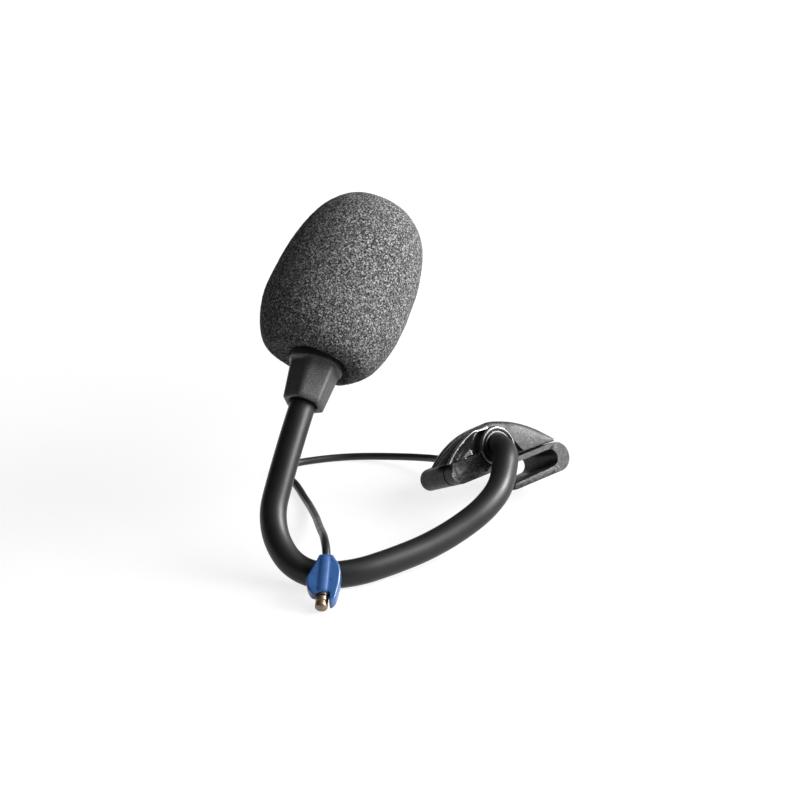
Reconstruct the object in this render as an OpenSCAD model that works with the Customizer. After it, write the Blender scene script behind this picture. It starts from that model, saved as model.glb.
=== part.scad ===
// Boom microphone on a gooseneck, with a foam windscreen, a swivelling clothing clip and a short plug cord.
// Millimetres. The table is z = 0. The boom is built from the clip outwards, as a chain of tangent arcs.

/* [View] */
// Part to show, or all of them

/* [Boom] */
// Outer diameter of the rubber-covered boom
boom_dia = 6.5; // [5:0.1:9]
// Wall of the rubber sheath
sheath_wall = 1.15; // [0.6:0.05:2]
// Wall of the steel gooseneck inside the sheath
core_wall = 0.8; // [0.4:0.05:1.2]
// Diameter of the cable inside the gooseneck
lead_dia = 1.8; // [1:0.1:2.2]
// Straight length in front of the clip before the first bend
boom_lead_in = 1; // [0:0.5:10]
// Straight length past the last bend, inside the neck
boom_tail = 2.5; // [1:0.5:5]

/* [Ferrule and gland] */
// Outer diameter of the ferrule that the clip turns on
ferrule_dia = 7.5; // [7:0.1:9]
// Diameter of the ferrule's front lip
lip_dia = 8; // [7.5:0.1:9]
// Length of the ferrule behind the clip's front face
ferrule_length = 14.2; // [13:0.1:22]
// Outer diameter of the retaining ring behind the clip
retainer_dia = 9.2; // [8.8:0.1:11]
// Length of the tapered cord gland
gland_length = 4.8; // [3:0.1:8]
// Diameter of the gland where the cord leaves it
gland_tip_dia = 3; // [2.4:0.1:4]

/* [Cord and plug] */
// Diameter of the cord
cord_dia = 2; // [1.2:0.1:3]
// Thickness of the plug's moulded body
plug_thick = 3.4; // [2.5:0.1:5]
// Diameter of the plug's round core
plug_core_dia = 4.2; // [3:0.1:5]
// Diameter of the metal plug tip
plug_tip_dia = 3; // [2:0.1:3.5]
// Distance from the cord's end to the end of the plug tip
plug_length = 14.2; // [10:0.1:18]

/* [Neck and capsule] */
// Width over the flats at the neck's lower end
neck_low_width = 9.4; // [8:0.1:12]
// Width over the flats under the flange
neck_top_width = 11.8; // [9:0.1:14]
// Diameter of the neck's flange
flange_dia = 13.8; // [12:0.1:18]
// Height of the flange's top above the end of the boom
flange_top = 9.75; // [8:0.05:14]
// Outer diameter of the capsule housing
cup_dia = 11.2; // [9:0.1:13]
// Height of the capsule housing's top above the end of the boom
cup_top = 34; // [28:0.5:40]
// Diameter of the microphone capsule
capsule_dia = 7.9; // [6:0.1:9]

/* [Windscreen] */
// Length of the foam windscreen
foam_length = 46.8; // [40:0.2:60]
// Largest radius of the windscreen
foam_radius = 18; // [14:0.1:22]
// Radius of the flat around the windscreen's mouth
foam_mouth_radius = 10.9; // [8:0.1:14]
// Share of the length at which the windscreen is widest
foam_widest = 0.31; // [0.2:0.01:0.6]

/* [Clip] */
// Length of the clip's base and jaw from front to back
clip_length = 16; // [14:0.5:24]
// Length of the domed cover, with the bezel in front of it
cover_length = 9.7; // [8:0.1:12]
// Length of the front bezel
bezel_length = 1.3; // [1:0.1:3]
// Length of the swivel bearing behind the clip's front face
swivel_length = 12; // [10:0.5:13]
// Angle by which the cover falls towards its back
cover_draft = 4.4; // [0:0.1:8]
// Depth of the grooves between the grip lands
groove_depth = 0.6; // [0.2:0.1:1.2]
// Wall of the hollow cover
cover_wall = 1.3; // [0.8:0.1:2]
// Height of the base below the parting line
base_height = 5.7; // [4:0.1:8]
// Radius of the ring around the swivel
ring_radius = 5; // [4.6:0.1:6]
// Outer radius of the swivel bush
bush_radius = 4.4; // [4:0.05:4.6]
// Outer radius of the hairpin bend
bend_radius = 3.9; // [3:0.1:5]
// Inner radius of the hairpin bend
bend_inner_radius = 2.25; // [1.5:0.05:3]
// Thickness of the jaw at its tip
jaw_tip_thick = 1.7; // [1:0.1:2.5]
// Diameter of the cover screws
screw_dia = 1.6; // [1.2:0.1:2.5]

/* [Fits] */
// Radial clearance of parts that turn or slide
run_gap = 0.05; // [0.01:0.01:0.1]
// Radial clearance of parts that are fixed together
fix_gap = 0.03; // [0.01:0.01:0.1]
// Axial clearance between stacked faces
face_gap = 0.05; // [0.01:0.01:0.2]

/* [Hidden] */
$fn = 64;

// where the object stands: the ring's centre at the clip's front face, and the clip's attitude
rest_shift = [-22.905, -33.95, 0];
clip_pos = [43.4, 46.5, 17.8];
clip_rot = [-26, -6, 36];

// the boom: radius, angle and roll of each bend, from the clip to the neck
boom_bends = [
    [9, 68.5, -48],
    [32, 37.5, -50],
    [75, 14.5, -51],
    [160, 4, 27],
    [26, 25, 35],
    [11, 59.5, -26],
    [19, 48, -16],
    [385, 4, 34]
];
last_bend = len(boom_bends) - 1;

boom_r = boom_dia / 2;
core_r = boom_r - sheath_wall - fix_gap;
core_bore_r = core_r - core_wall;
lead_r = lead_dia / 2;
sheath_back = 8;
rod_step = 0.01;
rod_overlap = 0.3;

ferrule_r = ferrule_dia / 2;
ferrule_bore_r = boom_r + run_gap;
ferrule_front = -0.4;
lip_r = lip_dia / 2;
lip_back = 0.6;
bush_bore_r = ferrule_r + run_gap;
bush_hole_r = bush_radius + fix_gap;
lip_hole_r = lip_r + 2 * run_gap;
bush_front = lip_back + face_gap;
washer_front = swivel_length + face_gap;
washer_back = washer_front + 0.7;
retainer_front = washer_back + face_gap;
retainer_back = retainer_front + 1.2;
retainer_r = retainer_dia / 2;
clear_r = retainer_r + 0.35;
spigot_front = sheath_back + 2.05;
spigot_r = 3;
gland_front = ferrule_length + face_gap;
gland_back = gland_front + gland_length - face_gap;

// the cord's route over the table, from the gland to the plug
cord_route = [
    [34.07, 60.83, 9.52],
    [32.1, 63.84, 7.77],
    [31, 65.5, 6.8],
    [29, 68.6, 5.4],
    [26.2, 71.8, 4.4],
    [22.1, 75, 3.4],
    [18, 77.4, 2.6],
    [14, 79.1, 2],
    [9, 80.4, 1.5],
    [4.4, 80.8, 1.2],
    [-0.6, 80.2, 1.05],
    [-5.6, 78.6, 1.05],
    [-10, 76.6, 1.05],
    [-13.2, 73.8, 1.05],
    [-14.2, 70, 1.05],
    [-12.6, 66.6, 1.05],
    [-10.2, 62.6, 1.05],
    [-8.6, 58, 1.05],
    [-7, 52.4, 1.1],
    [-5.4, 46.4, 1.5],
    [-4.2, 40.2, 2.4],
    [-3.1, 33.8, 3.5],
    [-2.4, 28.4, 4.6],
    [-1.8, 22.8, 6],
    [-1.2, 17.4, 7.4],
    [-0.7, 12.6, 8.8],
    [-0.1, 8, 9.9],
    [0.4, 3.6, 10.4],
    [0.8, 0.2, 10.1],
    [0.95, -1.6, 9.4],
    [0.9, -2.5, 9]
];
cord_steps = 2;
cord_sides = 8;
cord_r = cord_dia / 2;

plug_pos = [0.9, -2.5, 9];
plug_rot = [123, 0, -4];
plug_core_end = 10.4;
plug_ring_end = 11;
plug_tip_start = 6;
plug_tip_r = plug_tip_dia / 2;
// the moulded body seen from above, right side downwards from the cord and left side back up
plug_outline = [
    [-1.5, 0],
    [1.8, 0],
    [2.5, 1.2],
    [3.5, 2.5],
    [4, 4.6],
    [4, 7.8],
    [3.7, 9.3],
    [3.5, 10.8],
    [3.2, 12.1],
    [2.5, 13],
    [1.75, 13.2],
    [1.75, 10.4],
    [-2.4, 10.4],
    [-3, 9.3],
    [-3.6, 7.8],
    [-4.1, 6],
    [-4.1, 4.8],
    [-2.9, 2.5]
];

neck_low = -1.7;
neck_edge = 0.5;
flange_low = 9.05;
flat_turn = 22.5;
spigot_low = 5;
spigot_cup_r = 4.4;
cup_r = cup_dia / 2;
cup_wall = 0.7;
cup_bore_r = cup_r - cup_wall;
cup_floor = 12;
board_low = 22;
board_thick = 1;
capsule_low = 25;
capsule_height = 6;
capsule_r = capsule_dia / 2;
isolator_low = 24.5;
isolator_height = 7;
grille_low = 32.2;
grille_thick = 1;
grille_hole_r = 0.7;
grille_pitch = 2.6;

foam_base = 9.3;
foam_turn = -41;
foam_offset = [-2.2, -0.2];
foam_lean = [5, 10];
foam_power_low = 2 / 1.65;
foam_power_top = 2 / 2.66;
foam_socket_top = 34.2;
flange_room = 0.4;

// the clip's sections, with x along its width and y up from the parting line
left_end = -16;
arch_left_y = -16.95;
arch_left_r = 23.75;
arch_right = [-5.2, -22.25];
arch_right_r = 29.5;
wing = [[0, 9], [0, 4.2], [4.1, 2.7], [7, -4], [18.3, -4.38], [19.5, -4.38], [19.5, 9]];
barrel_r = base_height / 2;
barrel_x = left_end + barrel_r;
floor_top = -4.4;
bend_x = 14.4;
bend_y = -8;
bend_out_x = 16.4;
bend_out_y = -8.3;
jaw_gap = 0.05;
jaw_tip_x = 1.6;
jaw_tip_y = -11.43;
jaw_low = bend_out_y - bend_radius;
rib_first = 2.4;
rib_pitch = 1.5;
rib_last = 8.4;
rib_r = 0.35;
screw_x = -9;
screw_y = [3, 7.4];
screw_r = screw_dia / 2;
screw_top = 2.8;
screw_head_r = 1.5;
screw_head_low = -5.6;
screw_head_high = -4.6;
boss_r = 1.9;
tab_width = 3.2;
tab_back = 4.7;
rim_length = 0.6;
cover_front = bezel_length + face_gap;
land_starts = [cover_front, 7.5, 8.7];
land_ends = [6.9, 8.1, cover_length];
back_wall = 1.3;
panel_edge = 0.7;
panel_depth = 0.35;
cap_front = 13.9;
cap_back = 16.4;

// ---- placing ----

module at_rest() translate(rest_shift) children();

module at_clip() at_rest() translate(clip_pos) rotate(clip_rot) children();

// z runs along the boom from the clip's front face to the neck
module at_boom() at_clip() rotate([90, 90, 0]) children();

module past_bend(b)
    rotate([0, 0, b[2]]) translate([b[0], 0, 0]) rotate([0, b[1], 0]) translate([-b[0], 0, 0]) children();

module walk(i) {
    if (i < 0) translate([0, 0, boom_lead_in]) children();
    else walk(i - 1) past_bend(boom_bends[i]) children();
}

module at_head() at_boom() walk(last_bend) children();

module at_plug() at_rest() translate(plug_pos) rotate(plug_rot) children();

// z runs along the swivel axis, towards the back of the clip
module along_swivel(from) at_clip() translate([0, from, 0]) rotate([-90, 0, 0]) children();

// extrudes a clip section between two distances from the clip's front face
module clip_slab(from, to) translate([0, to, 0]) rotate([90, 0, 0]) linear_extrude(to - from) children();

// ---- shared shapes ----

module tube(outer, inner, height) difference() {
    cylinder(h = height, r = outer);
    translate([0, 0, -1]) cylinder(h = height + 2, r = inner);
}

// Rods follow the boom. Every second stretch is a hair thinner and reaches into its neighbours, which joins them cleanly.
module bend_rod(i, r) {
    thin = i % 2 == 0;
    over = thin ? asin(rod_overlap / boom_bends[i][0]) : 0;
    at_boom() walk(i - 1) rotate([0, 0, boom_bends[i][2]]) translate([boom_bends[i][0], 0, 0])
        rotate([90, 0, 180]) rotate([0, 0, -over]) rotate_extrude(angle = boom_bends[i][1] + 2 * over)
            translate([boom_bends[i][0], 0]) circle(thin ? r - rod_step : r);
}

// a rod along the whole boom, reaching back into the ferrule and on into the neck
module boom_rod(r, back, tail) {
    at_boom() translate([0, 0, -back]) cylinder(h = back + boom_lead_in, r = r);
    for (i = [0 : last_bend]) bend_rod(i, r);
    at_head() translate([0, 0, -rod_overlap]) cylinder(h = tail + rod_overlap, r = r - rod_step);
}

module boom_tube(outer, inner) difference() {
    boom_rod(outer, sheath_back, boom_tail);
    boom_rod(inner, sheath_back + 1, boom_tail + 1);
}

// ---- the cord's sweep ----

function unit(v) = v / norm(v);

function spline(p, q, r, s, t) = 0.5 * (2 * q + (r - p) * t + (2 * p - 5 * q + 4 * r - s) * t * t
    + (3 * q - p - 3 * r + s) * t * t * t);

function route_point(i) = cord_route[max(0, min(len(cord_route) - 1, i))];

cord_path = concat(
    [for (i = [0 : len(cord_route) - 2]) for (j = [0 : cord_steps - 1])
        spline(route_point(i - 1), route_point(i), route_point(i + 1), route_point(i + 2), j / cord_steps)],
    [route_point(len(cord_route) - 1)]
);

function turn_z(v, a) = [v[0] * cos(a) - v[1] * sin(a), v[0] * sin(a) + v[1] * cos(a), v[2]];

function turn_y(v, a) = [v[0] * cos(a) + v[2] * sin(a), v[1], -v[0] * sin(a) + v[2] * cos(a)];

function turn_x(v, a) = [v[0], v[1] * cos(a) - v[2] * sin(a), v[1] * sin(a) + v[2] * cos(a)];

function turned(v, r) = turn_z(turn_y(turn_x(v, r[0]), r[1]), r[2]);

cord_start_dir = turned([0, 1, 0], clip_rot);
cord_end_dir = turned([0, 0, 1], plug_rot);
cord_last = len(cord_path) - 1;

cord_tangents = [for (i = [0 : cord_last])
    i == 0 ? cord_start_dir : i == cord_last ? cord_end_dir : unit(cord_path[i + 1] - cord_path[i - 1])];

function square_to(n, t) = unit(n - (n * t) * t);

cord_normals = [for (i = 0, n = square_to([0, 0, 1], cord_tangents[0]); i <= cord_last; i = i + 1,
    n = i <= cord_last ? square_to(n, cord_tangents[i]) : n) n];

function cord_ring(i) = let (n = cord_normals[i], b = cross(cord_tangents[i], n))
    [for (k = [0 : cord_sides - 1]) cord_path[i]
        + cord_r * (cos((k + 0.5) * 360 / cord_sides) * n + sin((k + 0.5) * 360 / cord_sides) * b)];

// ---- the boom ----

module boom_sheath() color([0.03, 0.03, 0.03])
    boom_tube(boom_r, boom_r - sheath_wall);

module boom_core() color([0.6, 0.6, 0.62])
    boom_tube(core_r, core_bore_r);

module boom_lead() color([0.15, 0.15, 0.15])
    boom_rod(lead_r, spigot_front - face_gap, board_low - face_gap);

module root_ferrule() color([0.1, 0.1, 0.1]) along_swivel(0) difference() {
    union() {
        translate([0, 0, ferrule_front]) cylinder(h = ferrule_length - ferrule_front, r = ferrule_r);
        translate([0, 0, ferrule_front]) cylinder(h = lip_back - ferrule_front, r = lip_r);
    }
    translate([0, 0, ferrule_front - 1]) cylinder(h = sheath_back + 1 + face_gap - ferrule_front, r = ferrule_bore_r);
    translate([0, 0, ferrule_front]) cylinder(h = ferrule_length + 2, r = spigot_r + fix_gap);
}

module retaining_ring() color([0.5, 0.5, 0.52]) along_swivel(retainer_front)
    tube(retainer_r, ferrule_r + fix_gap, retainer_back - retainer_front);

module cord_gland() color([0.05, 0.05, 0.05]) {
    along_swivel(spigot_front) cylinder(h = gland_front - spigot_front, r = spigot_r);
    along_swivel(gland_front)
        cylinder(h = gland_back - gland_front, r1 = ferrule_r, r2 = gland_tip_dia / 2);
}

module cord() color([0.03, 0.03, 0.03]) at_rest() polyhedron(
    points = [for (i = [0 : cord_last]) each cord_ring(i)],
    faces = concat(
        [[for (k = [0 : cord_sides - 1]) k]],
        [for (i = [0 : cord_last - 1]) for (k = [0 : cord_sides - 1]) each [
            [i * cord_sides + k, (i + 1) * cord_sides + k, i * cord_sides + (k + 1) % cord_sides],
            [(i + 1) * cord_sides + k, (i + 1) * cord_sides + (k + 1) % cord_sides,
                i * cord_sides + (k + 1) % cord_sides]]],
        [[for (k = [cord_sides - 1 : -1 : 0]) cord_last * cord_sides + k]]
    )
);

// ---- the plug ----

module plug_body() color([0.02, 0.09, 0.4]) at_plug() difference() {
    union() {
        translate([0, plug_thick / 2, 0]) rotate([90, 0, 0]) linear_extrude(plug_thick) polygon(plug_outline);
        cylinder(h = plug_core_end, r = plug_core_dia / 2);
    }
    translate([0, 0, plug_tip_start]) cylinder(h = 20, r = plug_tip_r + fix_gap);
}

module plug_ring() color([0.02, 0.02, 0.02]) at_plug() translate([0, 0, plug_core_end + face_gap])
    tube(plug_tip_r + 0.2, plug_tip_r - 0.4 + fix_gap, plug_ring_end - plug_core_end - face_gap);

module plug_tip() color([0.55, 0.4, 0.2]) at_plug() {
    translate([0, 0, plug_tip_start + face_gap])
        cylinder(h = plug_core_end - plug_tip_start - face_gap, r = plug_tip_r);
    translate([0, 0, plug_core_end]) cylinder(h = plug_ring_end - plug_core_end + face_gap, r = plug_tip_r - 0.4);
    translate([0, 0, plug_ring_end + face_gap]) cylinder(h = plug_length - plug_ring_end - face_gap, r = plug_tip_r);
}

// ---- the head ----

module neck() color([0.04, 0.04, 0.04]) at_head() difference() {
    union() {
        intersection() {
            translate([0, 0, neck_low]) rotate([0, 0, flat_turn]) cylinder(h = flange_low - neck_low,
                r1 = neck_low_width / 2 / cos(22.5), r2 = neck_top_width / 2 / cos(22.5), $fn = 8);
            translate([0, 0, neck_low]) cylinder(h = flange_low - neck_low,
                r1 = neck_low_width / 2 + 0.25, r2 = neck_top_width / 2 + 0.25);
        }
        translate([0, 0, neck_low + neck_edge]) cylinder(h = 1.2, r1 = neck_low_width / 2 + 0.35, r2 = neck_low_width / 2 + 0.1);
        translate([0, 0, flange_low]) cylinder(h = flange_top - flange_low, r = flange_dia / 2);
    }
    translate([0, 0, neck_low - 1]) cylinder(h = boom_tail - neck_low + 1 + face_gap, r = boom_r + fix_gap);
    translate([0, 0, neck_low - 0.01]) cylinder(h = 0.8, r1 = boom_r + 0.8, r2 = boom_r);
    cylinder(h = flange_top, r = lead_r + 0.2);
    translate([0, 0, spigot_low]) cylinder(h = flange_top, r = spigot_cup_r + fix_gap);
}

module capsule_cup() color([0.12, 0.12, 0.12]) at_head() difference() {
    union() {
        translate([0, 0, spigot_low + face_gap]) cylinder(h = cup_floor - spigot_low, r = spigot_cup_r);
        translate([0, 0, flange_top + face_gap]) cylinder(h = cup_top - flange_top - face_gap, r = cup_r);
    }
    cylinder(h = cup_top, r = lead_r + 0.2);
    translate([0, 0, cup_floor]) cylinder(h = cup_top, r = cup_bore_r);
}

module capsule_isolator() color([0.08, 0.08, 0.08]) at_head() translate([0, 0, isolator_low])
    tube(cup_bore_r - fix_gap, capsule_r + fix_gap, isolator_height);

module capsule() color([0.7, 0.7, 0.72]) at_head() difference() {
    union() {
        translate([0, 0, capsule_low]) cylinder(h = capsule_height, r = capsule_r);
        for (x = [-1.3, 1.3]) translate([x, 0, board_low + board_thick + face_gap])
            cylinder(h = capsule_low - board_low - board_thick, r = 0.3);
    }
    translate([0, 0, capsule_low + capsule_height - 0.4]) cylinder(h = 1, r = 2.6);
}

module capsule_board() color([0.05, 0.25, 0.1]) at_head() translate([0, 0, board_low])
    cylinder(h = board_thick, r = cup_bore_r - fix_gap);

module capsule_grille() color([0.35, 0.35, 0.36]) at_head() translate([0, 0, grille_low]) difference() {
    cylinder(h = grille_thick, r = cup_bore_r - fix_gap);
    translate([0, 0, -1]) cylinder(h = grille_thick + 2, r = grille_hole_r);
    for (a = [0 : 60 : 300]) rotate([0, 0, a]) translate([grille_pitch, 0, -1])
        cylinder(h = grille_thick + 2, r = grille_hole_r);
}

// ---- the windscreen ----

foam_mid = foam_length * foam_widest;
foam_low_steps = 12;
foam_top_steps = 16;
foam_profile = concat(
    [[0, 0]],
    [for (i = [0 : foam_low_steps]) let (a = 90 * i / foam_low_steps)
        [foam_mouth_radius + (foam_radius - foam_mouth_radius) * pow(sin(a), foam_power_low),
            foam_mid * (1 - pow(cos(a), foam_power_low))]],
    [for (i = [1 : foam_top_steps - 1]) let (a = 90 * i / foam_top_steps)
        [foam_radius * pow(cos(a), foam_power_top),
            foam_mid + (foam_length - foam_mid) * pow(sin(a), foam_power_top)]],
    [[0, foam_length]]
);

module windscreen() color([0.06, 0.06, 0.06]) at_head() difference() {
    rotate([0, 0, foam_turn]) translate([foam_offset[0], foam_offset[1], foam_base])
        rotate([foam_lean[0], 0, 0]) rotate([0, foam_lean[1], 0]) rotate_extrude() polygon(foam_profile);
    cylinder(h = foam_socket_top, r = cup_r + run_gap);
    cylinder(h = flange_top + face_gap, r = flange_dia / 2 + flange_room);
}

// ---- the clip ----

module drafted(from, to) rotate([-cover_draft, 0, 0]) clip_slab(from - 2, to + 2) children();

// the clip's arched top between two distances from the front face, moved in by d and past its lower edges by open
module dome(d, from, to, open = 0) {
    intersection() {
        drafted(from, to) translate([0, arch_left_y]) circle(arch_left_r - d);
        clip_slab(from, to) translate([left_end + d, -open]) square([-left_end - d + 0.01, 10]);
    }
    intersection() {
        drafted(from, to) translate(arch_right) circle(arch_right_r - d);
        clip_slab(from, to) translate([-open, -open]) polygon(wing);
    }
}

module upper_half2d(r) intersection() {
    circle(r);
    translate([-r, 0]) square([2 * r, r]);
}

module swivel_hole() translate([0, -1, 0]) rotate([-90, 0, 0]) cylinder(h = clip_length + 2, r = bush_hole_r);

module screw_holes() for (y = screw_y) translate([screw_x, y, -base_height - 1])
    cylinder(h = base_height + 1 + screw_top + fix_gap, r = screw_r + fix_gap);

module clip_bezel() color([0.03, 0.03, 0.03]) at_clip() difference() {
    union() {
        dome(0, 0, rim_length);
        dome(groove_depth, 0, bezel_length);
        clip_slab(0, bezel_length) upper_half2d(ring_radius);
        clip_slab(-0.3, 0) circle(ring_radius - 0.1);
        // tab inside the cover, for the front screw
        intersection() {
            clip_slab(0.5, tab_back) translate([screw_x - tab_width / 2, 0]) square([tab_width, 6]);
            dome(cover_wall + groove_depth + fix_gap, -1, tab_back + 1);
        }
    }
    translate([0, bush_front - face_gap, 0]) rotate([-90, 0, 0]) cylinder(h = clip_length, r = bush_hole_r);
    translate([0, -1, 0]) rotate([-90, 0, 0]) cylinder(h = clip_length, r = lip_hole_r);
    // shallow panel beside the ring
    intersection() {
        dome(1.2, -1, 0.4, 1);
        clip_slab(-1, 0.4) translate([left_end, 0.8]) square([10.4, 10]);
    }
    screw_holes();
}

module clip_cover() color([0.03, 0.03, 0.03]) at_clip() difference() {
    union() {
        difference() {
            union() {
                dome(groove_depth, cover_front, cover_length);
                for (i = [0 : 2]) dome(0, land_starts[i], land_ends[i]);
            }
            dome(cover_wall + groove_depth, cover_front - 1, cover_length - back_wall, 1);
        }
        clip_slab(cover_front, swivel_length) upper_half2d(ring_radius);
        intersection() {
            translate([screw_x, screw_y[1], 0]) cylinder(h = 5.2, r = boss_r);
            dome(groove_depth + 0.2, cover_front, cover_length);
        }
    }
    swivel_hole();
    screw_holes();
}

module base2d() difference() {
    union() {
        translate([barrel_x, -barrel_r]) circle(barrel_r);
        translate([barrel_x, -base_height]) square([-barrel_x, base_height]);
        intersection() {
            circle(ring_radius);
            translate([0, -ring_radius]) square([ring_radius, ring_radius]);
        }
        translate([-1, -base_height]) square([bend_x + 1.5, base_height + floor_top]);
        bend2d();
    }
    circle(bush_hole_r);
}

module bend2d() difference() {
    union() {
        translate([bend_out_x, bend_out_y]) circle(bend_radius);
        translate([bend_x, jaw_low]) square([bend_out_x - bend_x, 2 * bend_radius]);
    }
    translate([bend_x, bend_y]) circle(bend_inner_radius);
    translate([bend_x - 20, -20]) square([20, 20 - base_height]);
}

module clip_base() color([0.04, 0.04, 0.04]) at_clip() difference() {
    clip_slab(0, clip_length) base2d();
    // hollow between the barrel and the swivel
    difference() {
        translate([-12.2, 1.5, floor_top]) cube([6.4, cover_length - 3, 6]);
        for (y = screw_y) translate([screw_x, y, -base_height]) cylinder(h = base_height, r = boss_r);
    }
    // room for the retaining ring and the gland
    translate([0, swivel_length + face_gap, 0]) rotate([-90, 0, 0]) cylinder(h = clip_length, r = clear_r);
    translate([-6, swivel_length + face_gap, floor_top]) cube([13, clip_length, 10]);
    // recessed panel on the front of the barrel
    clip_slab(-1, panel_depth) {
        translate([barrel_x, -barrel_r]) circle(barrel_r - panel_edge);
        translate([barrel_x, panel_edge - base_height]) square([7.5, base_height - 2 * panel_edge]);
    }
    screw_holes();
    for (y = screw_y) translate([screw_x, y, -base_height - 1])
        cylinder(h = screw_head_high + base_height + 1 + face_gap, r = screw_head_r + fix_gap);
    // groove around the barrel, and the seat of its end cap
    clip_slab(3.6, 4.2) difference() {
        translate([barrel_x, -barrel_r]) circle(barrel_r + 1);
        translate([barrel_x, -barrel_r]) circle(barrel_r - 0.4);
        translate([barrel_x, -10]) square([20, 20]);
    }
    clip_slab(cap_front - face_gap, clip_length + 1) translate([-20, -10]) square([20 - 13 - 0.2, 20]);
    translate([barrel_x, 10, -barrel_r]) rotate([-90, 0, 0]) cylinder(h = 6, r = 0.9 + fix_gap);
}

module clip_cap() color([0.03, 0.03, 0.03]) at_clip() {
    difference() {
        translate([barrel_x, cap_front, -barrel_r]) rotate([-90, 0, 0]) union() {
            cylinder(h = cap_back - cap_front - 0.6, r = barrel_r);
            translate([0, 0, cap_back - cap_front - 0.6]) cylinder(h = 0.6, r1 = barrel_r, r2 = barrel_r - 0.6);
        }
        translate([-13.2, cap_front - 1, -10]) cube([20, 5, 20]);
    }
    translate([barrel_x, 10.1, -barrel_r]) rotate([-90, 0, 0]) difference() {
        cylinder(h = cap_front - 10, r = 0.9);
        translate([-0.05 - barrel_x - 13.2, -2, cap_front - 10.15]) cube([4, 4, 4]);
    }
}

module swivel_bush() color([0.75, 0.75, 0.7]) along_swivel(bush_front)
    tube(bush_radius, bush_bore_r, swivel_length - bush_front);

module friction_washer() color([0.1, 0.1, 0.1]) along_swivel(washer_front)
    tube(bush_radius + 0.1, bush_bore_r + 0.05, washer_back - washer_front);

module cover_screw(y) at_clip() translate([screw_x, y, 0]) difference() {
    union() {
        translate([0, 0, screw_head_low]) cylinder(h = screw_head_high - screw_head_low, r = screw_head_r);
        translate([0, 0, screw_head_low]) cylinder(h = screw_top - screw_head_low, r = screw_r);
    }
    translate([0, 0, screw_head_low - 0.1]) cylinder(h = 0.6, r = 0.7, $fn = 6);
}

module cover_screw_front() color([0.4, 0.4, 0.42]) cover_screw(screw_y[0]);

module cover_screw_back() color([0.4, 0.4, 0.42]) cover_screw(screw_y[1]);

module clip_jaw() color([0.03, 0.03, 0.03]) at_clip() union() {
    clip_slab(0, clip_length) polygon([
        [bend_x - jaw_gap, bend_y - bend_inner_radius],
        [bend_x - jaw_gap, jaw_low],
        [jaw_tip_x, jaw_tip_y - jaw_tip_thick / 2],
        [jaw_tip_x, jaw_tip_y + jaw_tip_thick / 2]
    ]);
    clip_slab(0, clip_length) translate([jaw_tip_x, jaw_tip_y]) circle(jaw_tip_thick / 2);
    // ribs that grip the cloth
    for (x = [rib_first : rib_pitch : rib_last])
        clip_slab(0, clip_length) translate([x, jaw_tip_y + jaw_tip_thick / 2 + (x - jaw_tip_x) * 0.026]) circle(rib_r);
}

// ---- drawing ----

boom_sheath();
boom_core();
boom_lead();
root_ferrule();
retaining_ring();
cord_gland();
cord();
plug_body();
plug_ring();
plug_tip();
neck();
capsule_cup();
capsule_isolator();
capsule();
capsule_board();
capsule_grille();
clip_bezel();
clip_cover();
clip_base();
clip_cap();
swivel_bush();
friction_washer();
cover_screw_front();
cover_screw_back();
clip_jaw();
windscreen();
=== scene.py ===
"""Gooseneck boom microphone: foam windscreen, rubber boom, swivelling clothing clip, short cord with a plug."""

from math import cos, degrees, exp, hypot, log, pi, radians, sin, sqrt, tan, tau

import bmesh
import bpy
from mathutils import Matrix, Vector, noise


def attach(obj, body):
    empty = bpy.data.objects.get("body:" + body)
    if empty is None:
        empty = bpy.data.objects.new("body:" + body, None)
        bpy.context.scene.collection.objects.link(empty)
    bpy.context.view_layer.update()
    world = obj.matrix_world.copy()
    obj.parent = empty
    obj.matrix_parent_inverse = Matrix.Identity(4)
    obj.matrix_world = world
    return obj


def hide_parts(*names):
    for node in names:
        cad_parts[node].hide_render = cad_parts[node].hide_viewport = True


bl_info = {
    "name": "Gooseneck Boom Microphone",
    "version": (1, 0, 0),
    "blender": (4, 5, 0),
    "location": "3D View > Sidebar > Boom Mic",
    "description": "Builds the detailed pieces, finishes and studio of a gooseneck boom microphone",
    "category": "Object",
}

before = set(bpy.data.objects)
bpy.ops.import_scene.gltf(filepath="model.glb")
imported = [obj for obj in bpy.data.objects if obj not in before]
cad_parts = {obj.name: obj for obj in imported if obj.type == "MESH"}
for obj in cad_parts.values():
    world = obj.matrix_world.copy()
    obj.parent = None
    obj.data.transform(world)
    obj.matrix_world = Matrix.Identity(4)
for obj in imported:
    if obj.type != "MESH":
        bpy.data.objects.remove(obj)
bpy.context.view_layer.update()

# ---- places, shared with the solid model, in millimetres and degrees ----

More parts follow.
